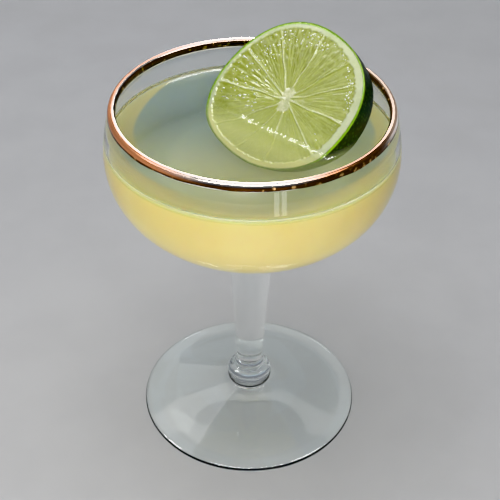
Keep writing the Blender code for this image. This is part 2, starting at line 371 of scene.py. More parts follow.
def foot_outline():
    underside = [(r, UNDERSIDE_RISE * (1.0 - (r / REST_INNER_RADIUS) ** 2))
                 for r in steps(AXIS_RADIUS, REST_INNER_RADIUS, 16)]
    half = FOOT_EDGE / 2.0
    rest = [(r, 0.0) for r in steps(REST_INNER_RADIUS, REST_OUTER_RADIUS, 2)[1:]]
    rim = [(FOOT_RADIUS - half + half * math.cos(a), half + half * math.sin(a))
           for a in steps(-math.pi / 2.5, math.pi / 2.0, 10)]
    top = [(r, foot_top(r)) for r in steps(FOOT_RADIUS - half, FOOT_TOP_RADIUS, 24)[1:]]
    return underside + rest + rim + top


def stem_outline():
    collar = bead_curve(COLLAR_RADIUS, COLLAR_Z, COLLAR_HALF_HEIGHT, COLLAR_SWEEP, 28, COLLAR_SQUARENESS)
    ring = bead_curve(RING_RADIUS, RING_Z, RING_HALF_HEIGHT, RING_SWEEP, 14)
    foot_of_stem = [(STEM_BOTTOM_RADIUS - STEM_EDGE + STEM_EDGE * math.sin(a),
                     STEM_BOTTOM_Z + STEM_EDGE - STEM_EDGE * math.cos(a))
                    for a in steps(0.0, math.pi / 2.0, 4)]
    taper = [(blend(STEM_BOTTOM_RADIUS, STEM_TOP_RADIUS, s),
              blend(STEM_BOTTOM_Z + STEM_EDGE, STEM_TOP_Z, s))
             for s in steps(0.0, 1.0, 12)[1:-1]]
    flare_angle = math.asin((FLARE_RADIUS / BULGE_RADIUS) ** (BOWL_POWER / 2.0))
    flare_end = bowl_point(flare_angle, BULGE_RADIUS, BOWL_BOTTOM_Z)
    flare = [(FLARE_RADIUS - (FLARE_RADIUS - STEM_TOP_RADIUS) * math.cos(a),
              STEM_TOP_Z + (flare_end[1] - STEM_TOP_Z) * math.sin(a))
             for a in steps(0.0, math.pi / 2.0, 20)]
    bowl = bowl_curve(flare_angle, BULGE_RADIUS, BOWL_BOTTOM_Z, 40)[1:]
    return collar + ring + foot_of_stem + taper + flare + bowl


def inside_outline(clearance, top_z, count):
    """Inner surface of the bowl, from the axis up to a height, at a clearance inside it."""
    radius = INNER_RADIUS - clearance
    bottom = BOWL_BOTTOM_Z + BOWL_FLOOR + clearance
    first_angle = 0.002
    wall = [(inner_radius(z) - clearance, z) for z in steps(BULGE_Z, top_z, 10)[1:]]
    return bowl_curve(first_angle, radius, bottom, count) + wall


def glass_outline():
    low_outside = HEIGHT - 2.0 * BAND_OUTSIDE
    low_inside = HEIGHT - 2.0 * BAND_INSIDE
    below = [(outer_radius(z) - UNDER_FILM * smooth((z - BULGE_Z) / (low_outside - BULGE_Z)), z)
             for z in steps(BULGE_Z, low_outside, 12)[1:-1]]
    lip = lip_curve(UNDER_FILM, low_outside, low_inside)
    inside = inside_outline(0.0, low_inside, 48)
    return foot_outline() + stem_outline() + below + lip + inside[:-1][::-1]


# ---- materials ----

def add(tree, kind, inputs=None, **settings):
    """New shader node. Inputs are values or other nodes' outputs, by the socket's name or number."""
    made = tree.nodes.new("ShaderNode" + kind)
    for key, value in settings.items():
        setattr(made, key, value)
    for key, value in (inputs or {}).items():
        if isinstance(value, bpy.types.NodeSocket):
            tree.links.new(value, made.inputs[key])
        else:
            made.inputs[key].default_value = value
    return made


def math_node(tree, operation, *values, clamp=False):
    made = add(tree, "Math", dict(enumerate(values)), operation=operation, use_clamp=clamp)
    return made.outputs[0]


def mix(tree, share, low, high):
    """Mix of two colours."""
    made = add(tree, "Mix", data_type="RGBA")
    for socket, value in zip((made.inputs[0], made.inputs[6], made.inputs[7]), (share, low, high)):
        if isinstance(value, bpy.types.NodeSocket):
            tree.links.new(value, socket)
        else:
            socket.default_value = value if isinstance(value, float) else (*value, 1.0)
    return made.outputs[2]


def ramp(tree, value, low, high, to_low=0.0, to_high=1.0):
    """A value's smooth way from low to high."""
    made = add(tree, "MapRange", {0: value, 1: low, 2: high, 3: to_low, 4: to_high},
               interpolation_type="SMOOTHSTEP")
    return made.outputs[0]


def attribute(tree, name):
    return add(tree, "Attribute", attribute_name=name).outputs["Fac"]


def place(tree):
    return add(tree, "TexCoord").outputs["Object"]


def noise_node(tree, scale, detail, vector=None):
    """Noise from 0 to 1, in the object's own coordinates unless a vector is given."""
    made = add(tree, "TexNoise", {"Vector": vector or place(tree), "Scale": scale, "Detail": detail})
    return made.outputs["Fac"]


def new_material(name):
    material = bpy.data.materials.new(name)
    material.use_nodes = True
    material.node_tree.nodes.clear()
    return material, material.node_tree


def bumps(tree, height, strength, distance):
    made = add(tree, "Bump", {"Height": height, "Strength": strength, "Distance": distance})
    return made.outputs[0]


def principled(tree, inputs):
    return add(tree, "BsdfPrincipled", inputs).outputs[0]


def output(tree, surface):
    add(tree, "OutputMaterial", {"Surface": surface})


def lit_through(tree, surface, shadow):
    """The surface, but light for what lies behind it comes straight through, as through tinted film."""
    open_way = add(tree, "BsdfTransparent", {"Color": (*shadow, 1.0)}).outputs[0]
    path = add(tree, "LightPath").outputs
    bounced = add(tree, "MixShader", {0: path["Is Diffuse Ray"], 1: surface, 2: open_way}).outputs[0]
    return add(tree, "MixShader", {0: path["Is Shadow Ray"], 1: bounced, 2: open_way}).outputs[0]


def glass_material():
    material, tree = new_material("clear_glass")
    ripple = noise_node(tree, 45.0, 1.0)
    smears = noise_node(tree, 60.0, 4.0)
    shader = principled(tree, {
        "Base Color": (0.965, 0.985, 0.98, 1.0),
        "Roughness": ramp(tree, smears, 0.45, 0.75, 0.0, 0.025),
        "IOR": 1.5,
        "Transmission Weight": 1.0,
        "Normal": bumps(tree, ripple, 0.05, 1.0 * MM),
    })
    output(tree, lit_through(tree, shader, (0.93, 0.95, 0.95)))
    return material


def gilding_material():
    """Gold metal with painted highlight and painted reflection: a paler crest, a flank painted dark with
    painted glints of gold, and other painted colours where masks lay them.
    """
    material, tree = new_material("gilding")
    patches = noise_node(tree, 140.0, 3.0)
    brush = add(tree, "Mapping", {"Vector": place(tree), "Scale": (1.0, 1.0, 9.0)}).outputs[0]
    strokes = noise_node(tree, 420.0, 2.0, vector=brush)
    painted_glints = noise_node(tree, 520.0, 2.0)
    brown, tan = attribute(tree, "brown"), attribute(tree, "tan")
    copper, painted_highlight = attribute(tree, "copper"), attribute(tree, "painted_highlight")
    # painted reflection: the flank is painted dark as if it mirrored a dark room, with painted glints of gold
    # in it, more on the right in front
    dark = mix(tree, ramp(tree, patches, 0.4, 0.75), (0.05, 0.018, 0.006), (0.11, 0.045, 0.016))
    painted_glints = math_node(tree, "MULTIPLY_ADD", brown, 0.07, painted_glints)
    dark = mix(tree, ramp(tree, painted_glints, 0.60, 0.68), dark, (0.80, 0.50, 0.22))
    colour = mix(tree, ramp(tree, patches, 0.35, 0.68), (0.74, 0.50, 0.33), (0.90, 0.70, 0.52))
    # painted highlight: a whiter crest, except on the right
    colour = mix(tree, attribute(tree, "pale"), colour, (0.97, 0.93, 0.89))
    # painted reflection on the right: a tan crest behind, dark brown in front
    colour = mix(tree, tan, colour, (0.50, 0.35, 0.25))
    colour = mix(tree, brown, colour, (0.17, 0.075, 0.035))
    colour = mix(tree, attribute(tree, "flank"), colour, dark)
    # painted reflection: copper on the left instead of the dark
    colour = mix(tree, copper, colour, (0.66, 0.28, 0.13))
    # painted highlight: near-white non-metal lines at the lower edge inside and at the outer edge behind on
    # the right
    colour = mix(tree, painted_highlight, colour, (0.95, 0.90, 0.84))
    # the painted colours are partly or wholly non-metal, so that lamps light them as paint
    painted_not_metal = math_node(tree, "MULTIPLY_ADD", math_node(tree, "MAXIMUM", copper, tan), 0.6, painted_highlight)
    height = math_node(tree, "ADD", patches, math_node(tree, "MULTIPLY", strokes, 0.35))
    shader = principled(tree, {
        "Base Color": colour,
        "Metallic": math_node(tree, "SUBTRACT", 1.0, painted_not_metal, clamp=True),
        "Roughness": ramp(tree, strokes, 0.3, 0.8, 0.12, 0.26),
        "Normal": bumps(tree, height, 0.35, 0.06 * MM),
    })
    output(tree, shader)
    return material


def cloud_material():
    """The cloudy drink: yellow at the wall and below, greyer on top, darker and bluer towards the lime and
    the back as painted shade with a painted reflection of the window, and brighter on the top by the wall in
    front as painted light.
    """
    material, tree = new_material("cloudy_drink")
    swirl = noise_node(tree, 40.0, 3.0)
    side = mix(tree, ramp(tree, swirl, 0.35, 0.65), (0.75, 0.625, 0.25), (0.79, 0.67, 0.29))
    # painted light: the top by the wall in front is brighter
    side = mix(tree, attribute(tree, "lit"), side, (0.99, 0.85, 0.37))
    side = mix(tree, attribute(tree, "faded"), side, (0.75, 0.69, 0.44))
    top = mix(tree, ramp(tree, swirl, 0.3, 0.7), (0.68, 0.69, 0.46), (0.72, 0.73, 0.49))
    top = mix(tree, attribute(tree, "warm"), top, (0.58, 0.575, 0.31))
    # painted shade and painted reflection: darker and bluer away from the camera
    top = mix(tree, attribute(tree, "shade"), top, (0.41, 0.50, 0.56))
    shader = principled(tree, {
        "Base Color": mix(tree, attribute(tree, "grey"), side, top),
        "Roughness": 0.6,
        "Subsurface Weight": 1.0,
        "Subsurface Radius": (1.0, 0.85, 0.45),
        "Subsurface Scale": 5.0 * MM,
        "Specular IOR Level": 0.1,
    })
    output(tree, shader)
    return material


def surface_material():
    """The clear liquid over the cloud."""
    material, tree = new_material("liquid_surface")
    haze = noise_node(tree, 50.0, 3.0)
    shader = principled(tree, {
        "Base Color": mix(tree, ramp(tree, haze, 0.3, 0.7), (0.90, 0.93, 0.74), (0.93, 0.95, 0.79)),
        "Roughness": 0.12,
        "IOR": 1.34,
        "Transmission Weight": 0.95,
    })
    output(tree, lit_through(tree, shader, (0.95, 0.96, 0.88)))
    return material


def rind_green(tree, grain):
    """The bright green where the rind was cut."""
    return mix(tree, ramp(tree, grain, 0.35, 0.7), (0.26, 0.50, 0.03), (0.40, 0.64, 0.06))


def flesh_material():
    """Both cut faces: pulp, membranes, pith, core and the thin green edge."""
    material, tree = new_material("lime_flesh")
    high, pulp, rind = attribute(tree, "high"), attribute(tree, "pulp"), attribute(tree, "rind")
    fine = noise_node(tree, 900.0, 3.0)
    wide = noise_node(tree, 130.0, 3.0)
    patches = noise_node(tree, 260.0, 2.0)
    flesh = mix(tree, attribute(tree, "sac"), (0.40, 0.45, 0.085), (0.48, 0.52, 0.12))
    flesh = mix(tree, math_node(tree, "MULTIPLY", high, 0.9), flesh, (0.25, 0.29, 0.035))
    flesh = mix(tree, ramp(tree, high, 0.12, 0.0, 0.0, 0.45), flesh, (0.62, 0.67, 0.28))
    flesh = mix(tree, ramp(tree, attribute(tree, "fibre"), 0.35, 0.85, 0.0, 0.5), flesh, (0.52, 0.58, 0.13))
    olive = math_node(tree, "MULTIPLY", attribute(tree, "outer"), ramp(tree, patches, 0.35, 0.65, 0.1, 0.7))
    flesh = mix(tree, olive, flesh, (0.32, 0.37, 0.05))
    flesh = mix(tree, ramp(tree, attribute(tree, "sac_edge"), 0.2, 0.0, 0.0, 0.25), flesh, (0.56, 0.62, 0.18))
    line = mix(tree, ramp(tree, fine, 0.3, 0.7), (0.58, 0.63, 0.28), (0.70, 0.74, 0.42))
    flesh = mix(tree, attribute(tree, "membrane"), flesh, line)
    pith = mix(tree, ramp(tree, wide, 0.3, 0.7), (0.55, 0.62, 0.34), (0.66, 0.71, 0.47))
    face = mix(tree, pulp, pith, flesh)
    core = mix(tree, ramp(tree, fine, 0.3, 0.7), (0.56, 0.60, 0.30), (0.74, 0.75, 0.50))
    face = mix(tree, attribute(tree, "core"), face, core)
    face = mix(tree, rind, face, rind_green(tree, fine))
    sunk = mix(tree, pulp, (0.95, 0.92, 0.46), (0.76, 0.78, 0.33))
    sunk = mix(tree, math_node(tree, "MULTIPLY", rind, 0.8), sunk, (0.22, 0.36, 0.07))
    face = mix(tree, attribute(tree, "under"), face, sunk)
    wet = math_node(tree, "ADD", math_node(tree, "MULTIPLY", fine, 0.5), wide)
    shader = principled(tree, {
        "Base Color": face,
        "Roughness": ramp(tree, fine, 0.3, 0.75, 0.14, 0.32),
        "IOR": 1.38,
        "Subsurface Weight": 0.4,
        "Subsurface Radius": (0.9, 1.0, 0.25),
        "Subsurface Scale": 1.6 * MM,
        "Coat Weight": 0.30,
        "Coat Roughness": 0.04,
        "Normal": bumps(tree, wet, 0.4, 0.12 * MM),
    })
    output(tree, shader)
    return material


def juice_material():
    """Drops of juice, clear to milky."""
    material, tree = new_material("lime_juice")
    milky = ramp(tree, noise_node(tree, 300.0, 1.0), 0.3, 0.7)
    shader = principled(tree, {
        "Base Color": mix(tree, milky, (0.93, 0.97, 0.78), (0.97, 0.99, 0.88)),
        "Roughness": 0.06,
        "IOR": 1.36,
        "Transmission Weight": 0.35,
        "Coat Weight": 1.0,
        "Coat Roughness": 0.02,
    })
    output(tree, lit_through(tree, shader, (0.96, 0.98, 0.9)))
    return material


def rind_material():
    """Dark peel with pores, bright green next to the cut faces."""
    material, tree = new_material("lime_rind")
    wide = noise_node(tree, 110.0, 3.0)
    fine = noise_node(tree, 700.0, 2.0)
    dark = mix(tree, ramp(tree, wide, 0.3, 0.75), (0.001, 0.009, 0.001), (0.005, 0.028, 0.002))
    dark = mix(tree, math_node(tree, "MULTIPLY", attribute(tree, "pore"), 0.7), dark, (0.10, 0.23, 0.02))
    speckled = math_node(tree, "MULTIPLY_ADD", fine, 0.8, attribute(tree, "side"))
    skin = mix(tree, ramp(tree, speckled, 0.6, 1.15), rind_green(tree, fine), dark)
    shader = principled(tree, {
        "Base Color": mix(tree, attribute(tree, "under"), skin, (0.34, 0.43, 0.15)),
        "Roughness": ramp(tree, fine, 0.3, 0.75, 0.28, 0.45),
        "IOR": 1.4,
        "Specular IOR Level": 0.35,
        "Subsurface Weight": 0.05,
        "Subsurface Radius": (0.5, 1.0, 0.2),
        "Subsurface Scale": 0.6 * MM,
        "Normal": bumps(tree, fine, 0.3, 0.08 * MM),
    })
    output(tree, shader)
    return material


def floor_material():
    material, tree = new_material("pale_floor")
    grain = noise_node(tree, 30.0, 4.0)
    shader = principled(tree, {
        "Base Color": mix(tree, ramp(tree, grain, 0.3, 0.7), (0.60, 0.60, 0.61), (0.63, 0.63, 0.64)),
        "Roughness": 0.55,
    })
    output(tree, shader)
    return material


# ---- glass, gilding and drink ----

def make_glass():
    points, faces = capped(lathe(glass_outline(), GLASS_SIDES))
    made = piece("coupe_glass", points, faces, glass_material())
    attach(made, "root")
    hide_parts("glass")


def wander(angle, radius, seed):
    """A smooth uneven line round the glass, from about -1 to 1."""
    spot = Vector((radius * math.cos(angle), radius * math.sin(angle), seed))
    return 2.0 * noise.noise(spot)


def gilding_masks(x, y, r, z):
    """Where each painted reflection and painted highlight of the gilding lies."""
    below_crest = HEIGHT - z
    lip_middle = RIM_RADIUS - LIP_RADIUS
    inside = rising(lip_middle + INSIDE_LEAN * rising(below_crest, LEAN_DEPTH) - r, INSIDE_FADE)
    # painted reflection: the flank is painted dark below the crest
    flank = smooth((below_crest - blend(*FLANK_START, inside)) / blend(*FLANK_FADE, inside))
    across = (r - lip_middle) / LIP_RADIUS
    left, right, behind = rising(-x, COPPER_SIDE), rising(x, BROWN_SIDE), rising(y, BEHIND)
    # painted reflection: copper on the left of the flank
    copper = left * rising(across, COPPER_ACROSS) * (1.0 - rising(below_crest, COPPER_END))
    # painted highlight along the lower edge inside, and with edge along the outer edge behind on the right
    painted_highlight = inside * rising(below_crest, PAINTED_HIGHLIGHT_DEPTH)
    edge = right * behind * rising(across, EDGE_ACROSS) * (1.0 - rising(below_crest, EDGE_END))
    # every mask here lays painted reflection and painted highlight over the gold's own colour
    return {"flank": flank, "copper": copper, "painted_highlight": np.maximum(painted_highlight, edge), "brown": right * (1.0 - behind),
            "tan": right * behind, "pale": PALE_SHARE * (1.0 - right)}


def make_gilding():
    """A thin film over the lip, bevelled at its two edges."""
    angles = around(GILDING_SIDES)
    sections = []
    for angle in angles:
        outside = HEIGHT - BAND_OUTSIDE - BAND_WAVE * wander(angle, OUTSIDE_WAVES, 0.0)
        inside = HEIGHT - BAND_INSIDE - BAND_WAVE * wander(angle, INSIDE_WAVES, 7.0)
        skin = lip_curve(0.0, outside + BAND_BEVEL, inside + BAND_BEVEL)
        back = lip_curve(FILM, outside, inside)[::-1]
        sections.append(skin + back)
    section = np.array(sections)
    r, z = section[:, :, 0].T, section[:, :, 1].T
    x, y = r * np.cos(angles), r * np.sin(angles)
    points = np.stack([x, y, z], -1).reshape(-1, 3)
    faces = grid_faces(*r.shape, ring=True)
    made = piece("gilded_lip", points, faces, gilding_material(), gilding_masks(x, y, r, z))
    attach(made, "root")
    made.visible_glossy = False
    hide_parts("gold_band")
    return made


def climb(away, rise, reach):
    """How high a liquid's surface is drawn up at a distance from a wall."""
    return rise * np.exp(-np.maximum(away, 0.0) / reach)


def make_cloud():
    """Closed opaque body of the drink, its top sunk in the middle."""
    sides = inside_outline(-INTO_WALL, FLAT_Z + CLOUD_RISE[0] - SKIN, 60)
    wall = sides[-1][0]
    radii = wall - wall * (1.0 - np.cos(np.linspace(0.0, math.pi / 2.0, 61)[1:-1]))
    depth = CLEAR_DEPTH * smooth((wall - radii) / CLEAR_REACH)
    top = FLAT_Z + climb(wall - radii, CLOUD_RISE[0], CLOUD_REACH) - SKIN - depth
    outline = sides + list(zip(radii, top))
    points, faces = capped(lathe(outline, CLOUD_SIDES))
    on_top = np.repeat(np.arange(len(outline)) >= len(sides), CLOUD_SIDES)
    on_top = np.concatenate([on_top, [False, True]])
    x, y = points[:, 0], points[:, 1]
    front = rising(-y, FRONT)
    from_wall = wall - np.hypot(x, y)
    points[:, 2] += on_top * climb(from_wall, (CLOUD_RISE[1] - CLOUD_RISE[0]) * front, CLOUD_REACH)
    in_circles = np.min([radius - np.hypot(x - cx, y - cy) for cx, cy, radius in GREY_CIRCLES], 0)
    masks = {
        "grey": on_top * smooth(in_circles / blend(*GREY_EDGE, front)),
        # painted light on the top by the wall in front
        "lit": on_top * front * (1.0 - rising(from_wall, UNLIT)),
        # painted shade, bluer as a painted reflection, away from the camera
        "shade": rising(y, SHADE),
        "warm": rising(x, WARM) * (1.0 - rising(x, WARM_END)),
        "faded": on_top * (1.0 - front) * rising(np.abs(x), FADED),
    }
    made = piece("drink_body", points, faces, cloud_material(), masks)
    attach(made, "root")
    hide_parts("drink")


def wheel_distance(points):
    """Distance from the lime wheel's plain form, below zero inside it."""
    inverse = np.array(LIME_PLACE.inverted())
    local = points @ inverse[:3, :3].T + inverse[:3, 3]
    middle = LIME_THICKNESS / 2.0
    flat = np.abs(local[..., 2] + middle) - middle
    angle = np.arctan2(local[..., 1], local[..., 0])
    sideways = np.hypot(local[..., 0], local[..., 1]) - rind_radius(angle)
    outside = np.hypot(np.maximum(flat, 0.0), np.maximum(sideways, 0.0))
    return outside + np.minimum(np.maximum(flat, sideways), 0.0)


def make_surface():
    """Clear liquid from the cloud up to the level, drawn up the wall and the lime."""
    wall = float(inner_radius(LEVEL_Z)) + INTO_WALL

    def rings(count):
        """Flat rings, closer towards the wall, and their distance from it."""
        radii = wall * (1.0 - (1.0 - np.linspace(0.0, 1.0, count)[1:]) ** RING_CROWDING)
        flat = lathe([(r, FLAT_Z) for r in radii], SURFACE_SIDES)
        return flat, (wall - radii)[:, None]

    top, from_wall = rings(240)
    from_lime = wheel_distance(top + (0.0, 0.0, LIME_RISE))
    x, y = top[..., 0], top[..., 1]
    ripples = RIPPLE_HEIGHT * np.sin(x / RIPPLE_LENGTHS[0] + 2.0 * np.sin(y / RIPPLE_LENGTHS[1]))
    steady = (LIME_RISE - LIME_STEADY) / LIME_SLOPE
    at_lime = climb(from_lime - steady, LIME_STEADY, LIME_STEADY / LIME_SLOPE)
    at_lime = at_lime + LIME_SLOPE * np.clip(steady - from_lime, 0.0, steady)
    at_lime = at_lime * blend(WEAK_RISE, 1.0, rising(x, WEAK_SIDE))
    at_lime = at_lime * (1.0 + UNEVEN_RISE * unevenness(x, y, UNEVEN_SIZE, 3.0))
    rise = np.maximum(climb(from_wall, WALL_RISE, WALL_REACH), at_lime)
    top[..., 2] += rise + ripples * rising(from_wall, RIPPLES)
    bottom, from_wall = rings(48)
    bottom[..., 2] += climb(from_wall, CLOUD_RISE[0], CLOUD_REACH) - UNDERSIDE_SKINS * SKIN
    bottom[..., 2] -= CLEAR_DEPTH * smooth(from_wall / CLEAR_REACH)
    points, faces = capped(np.concatenate([top, bottom[::-1]]))
    made = piece("drink_surface", points, faces, surface_material())
    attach(made, "root")
    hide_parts("drink")


# ---- lime ----

def rind_radius(angle):
    """Outer radius of the wheel, a little out of round."""
    waves = sum(share * np.cos(count * angle + math.radians(phase))
                for count, share, phase in LIME_UNEVEN)
    return LIME_RADIUS * (1.0 + waves) - LIME_INSET


def nearest_membrane(x, y):
    """Distance to the nearest membrane, and how clearly that one shows."""
    nearest = np.full_like(x, 1.0)
    clear = np.zeros_like(x)
    for degrees, strength in MEMBRANES:
        angle = math.radians(degrees)
        way = LIME_RADIUS * np.array((math.cos(angle), math.sin(angle))) - CORE
        way /= np.linalg.norm(way)
        along = (x - CORE[0]) * way[0] + (y - CORE[1]) * way[1]
        across = np.where(along > 0.0, np.abs((x - CORE[0]) * way[1] - (y - CORE[1]) * way[0]), 1.0)
        clear = np.where(across < nearest, strength, clear)
        nearest = np.minimum(nearest, across)
    return nearest, clear


def unevenness(x, y, size, seed):
    """Smooth noise from about -1 to 1 over a face, with bumps of a size."""
    found = [noise.noise((a / size, b / size, seed)) for a, b in zip(x.ravel(), y.ravel())]
    return 2.0 * np.array(found).reshape(x.shape)


def soft_minimum(a, b, width):
    """The smaller of two distances, rounded where they meet."""
    share = np.clip(0.5 + 0.5 * (b - a) / width, 0.0, 1.0)
    return b + (a - b) * share - width * share * (1.0 - share)


def core_mask(x, y, rough):
    """1 on the lobes of the core and 0 off them."""
    lobes = [np.hypot(x - cx * MM, y - cy * MM) - radius * MM for cx, cy, radius in CORE_LOBES]
    edge = soft_minimum(lobes[0], lobes[1], CORE_EDGE) + CORE_ROUGHNESS * rough
    return smooth(0.5 - edge / CORE_EDGE)


def sacs(x, y, seed):
    """Juice sacs: long cells that point at the core. Height, a tone for each, edge, and fine fibres."""
    away = np.hypot(x - CORE[0], y - CORE[1])
    turn = np.arctan2(y - CORE[1], x - CORE[0])
    found = np.empty((4, x.size))
    width = SACS_ROUND / TURN
    for i, (r, a) in enumerate(zip(away.ravel(), turn.ravel())):
        c, s = math.cos(a), math.sin(a)
        bend = 0.5 * noise.noise((r / SAC_BEND_LENGTH, 4.0 * c, 4.0 * s + seed))
        along = r / SAC_LENGTH + bend
        near, places = noise.voronoi((along + seed, width * c, width * s))
        edge = near[1] - near[0]
        fibre = noise.noise((r / FIBRE_LENGTH + seed, FIBRES_ROUND * c, FIBRES_ROUND * s))
        found[:, i] = (min(edge * 1.5, 1.0), noise.cell(places[0] * 7.3), edge, 0.5 + 0.9 * fibre)
    return [values.reshape(x.shape) for values in found]


def face_relief(x, y, share, seed):
    """Depth of a cut face below the pith, and its masks."""
    wavy = WAVE_HEIGHT * np.sin(x / WAVE_LENGTHS[0] + 1.7 * np.sin(y / WAVE_LENGTHS[1]))
    membrane, clear = nearest_membrane(x + wavy, y - 0.6 * wavy)
    rough = unevenness(x, y, ROUGH_SIZE, seed)
    away = np.hypot(x - CORE[0], y - CORE[1])
    angle = np.arctan2(y, x)
    thin_part, at_core, at_pith = MEMBRANE_HALF
    half_width = thin_part + at_core * np.exp(-away / MEMBRANE_SPREAD) + at_pith * smooth((share - 0.7) / 0.3)
    pulp_share = PULP_SHARE + PULP_SWING * np.cos(angle - math.radians(THIN_PITH))
    to_pith = (pulp_share - share) * LIME_RADIUS + PITH_ROUGHNESS * rough
    room = soft_minimum(membrane - half_width, to_pith, PULP_CORNERS)
    core = core_mask(x, y, rough)
    sunk = smooth(room / PULP_EDGE + 0.3) * (1.0 - core)
    tall, tone, edge, fibre = sacs(x, y, seed)
    standing = 0.25 + 0.45 * smooth(0.5 + 1.2 * np.cos(angle - math.radians(ROUGH_SIDE)))
    bulge = SAC_HEIGHT * standing * (smooth(tall) - 0.6) * smooth(away / SAC_GROWTH)
    bulge = bulge + FIBRE_HEIGHT * (fibre - 0.5)
    depth = sunk * (PULP_DEPTH - bulge) + CORE_DEPTH * core
    line = smooth(1.3 - membrane / (half_width + MEMBRANE_BLUR))
    fading = clear + (1.0 - clear) * np.exp(-away / MEMBRANE_FADE)
    pulp = smooth(to_pith / PITH_EDGE + 0.4)
    outer = rising(share, (0.5, 0.85)) + np.zeros_like(x)
    return depth, {"pulp": pulp, "core": core, "sac": tone, "sac_edge": np.minimum(edge, 1.0),
                   "fibre": fibre, "outer": outer, "membrane": line * fading}


def away_from_dark(angles):
    """0 where the bright green edge is thinnest, 1 where it is thickest."""
    return smooth(0.5 - 0.9 * np.cos(angles - math.radians(DARK_SIDE)))


def cut_face(shares, height, up, seed):
    """Rings of points of a cut face at a height, with its relief, and its masks."""
    angles = around(LIME_SIDES)
    rim = rind_radius(angles)
    x = np.outer(shares, rim * np.cos(angles))
    y = np.outer(shares, rim * np.sin(angles))
    depth, masks = face_relief(x, y, shares[:, None], seed)
    lower = smooth((-np.sin(angles) - 0.5) / 0.4)
    edge = blend(*GREEN_SHARE, np.maximum(away_from_dark(angles), 0.7 * lower))
    masks["rind"] = smooth((shares[:, None] - edge) / GREEN_FACE_FADE)
    return np.stack([x, y, height - up * depth], -1), masks


def rind_outline():
    """(share of the radius, depth) from face to face, both corners rounded."""
    corner = [(1.0 - RIND_ROUNDING / LIME_RADIUS * (1.0 - math.sin(a)),
               RIND_ROUNDING * (1.0 - math.cos(a)))
              for a in steps(0.0, math.pi / 2.0, 4)]
    wall = [(1.0, d) for d in steps(RIND_ROUNDING, LIME_THICKNESS - RIND_ROUNDING, 24)[1:-1]]
    far_corner = [(s, LIME_THICKNESS - d) for s, d in reversed(corner)]
    return corner + wall + far_corner


def rind_side():
    """Rings of points of the rind, with its pores, and its masks."""
    angles = around(LIME_SIDES)
    rim = rind_radius(angles)
    outline = rind_outline()
    grid = np.empty((len(outline), LIME_SIDES, 3))
    pores = np.empty(grid.shape[:2])
    for i, (share, depth) in enumerate(outline):
        bulge = RIND_BULGE * math.sin(math.pi * depth / LIME_THICKNESS)
        for j, angle in enumerate(angles):
            c, s = math.cos(angle), math.sin(angle)
            near = noise.voronoi(Vector((rim[j] * c, rim[j] * s, depth)) / PORE_SIZE)[0]
            pores[i, j] = smooth(1.0 - near[0] * 2.4)
            radius = rim[j] * (share + bulge) - PORE_DEPTH * pores[i, j]
            grid[i, j] = (radius * c, radius * s, -depth)
    depths = np.array([d for s, d in outline])[:, None]
    green = blend(*GREEN_EDGE, away_from_dark(angles))
    side = smooth((depths - green) / (GREEN_FADE + green))
    return grid, {"rind": np.ones_like(pores), "side": side, "pore": pores}


def make_lime():
    """The wheel: rings from the middle of its front face over the rind to the middle of its back."""
    # as shares of the radius, closest in the pith and the green edge in front
    front = np.concatenate([np.linspace(0.012, 0.86, 74), np.linspace(0.87, 0.985, 14)])
    back = np.linspace(0.985, 0.02, 56)
    parts = [cut_face(front, 0.0, 1.0, 0.0), rind_side(), cut_face(back, -LIME_THICKNESS, -1.0, 40.0)]
    points, faces = capped(np.concatenate([grid for grid, found in parts]))
    turn = np.array(LIME_PLACE)
    world = points @ turn[:3, :3].T + turn[:3, 3]
    masks = {}
    for name in LIME_MASKS:
        values = np.concatenate([found.get(name, np.zeros(grid.shape[:2])) for grid, found in parts])
        masks[name] = np.concatenate([values.ravel(), [values[0].mean(), values[-1].mean()]])
    above_level = world[:, 2] - LEVEL_Z
    masks["high"] = rising(above_level, HIGH)
    masks["under"] = np.where(above_level > 0.0, 0.0, UNDER_SHARE * rising(-above_level, UNDER))
    made = piece("lime_slice", world, faces, flesh_material(), masks)
    made.data.materials.append(rind_material())
    rind_starts, rind_ends = LIME_SIDES * np.cumsum([len(grid) for grid, found in parts])[:2]
    skin = [1 if rind_starts <= corners[0] < rind_ends else 0 for corners in faces]
    made.data.polygons.foreach_set("material_index", skin)
    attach(made, "root")
    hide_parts("lime_wheel")
    return made


def bead(middle, along, length, radius):
    """A drop of juice lying on the cut face: points and faces of half a drop, rounded at its ends."""
    rows, columns = 6, 12
    across = Vector((-along.y, along.x, 0.0))
    points = []
    for i in range(rows):
        lift = math.pi / 2.0 * i / rows
        for j in range(columns):
            turn = TURN * j / columns
            side = math.cos(lift) * math.cos(turn) * length * along
            side += math.cos(lift) * math.sin(turn) * radius * across
            points.append(middle + side + Vector((0.0, 0.0, BEAD_HEIGHT * radius * math.sin(lift))))
    points.append(middle + Vector((0.0, 0.0, BEAD_HEIGHT * radius)))
    points.append(middle - Vector((0.0, 0.0, BEAD_BASE * radius)))
    faces = grid_faces(rows, columns)
    top, bottom = len(points) - 2, len(points) - 1
    for j in range(columns):
        k = (j + 1) % columns
        faces.append(((rows - 1) * columns + j, (rows - 1) * columns + k, top))
        faces.append((k, j, bottom))
    return points, faces


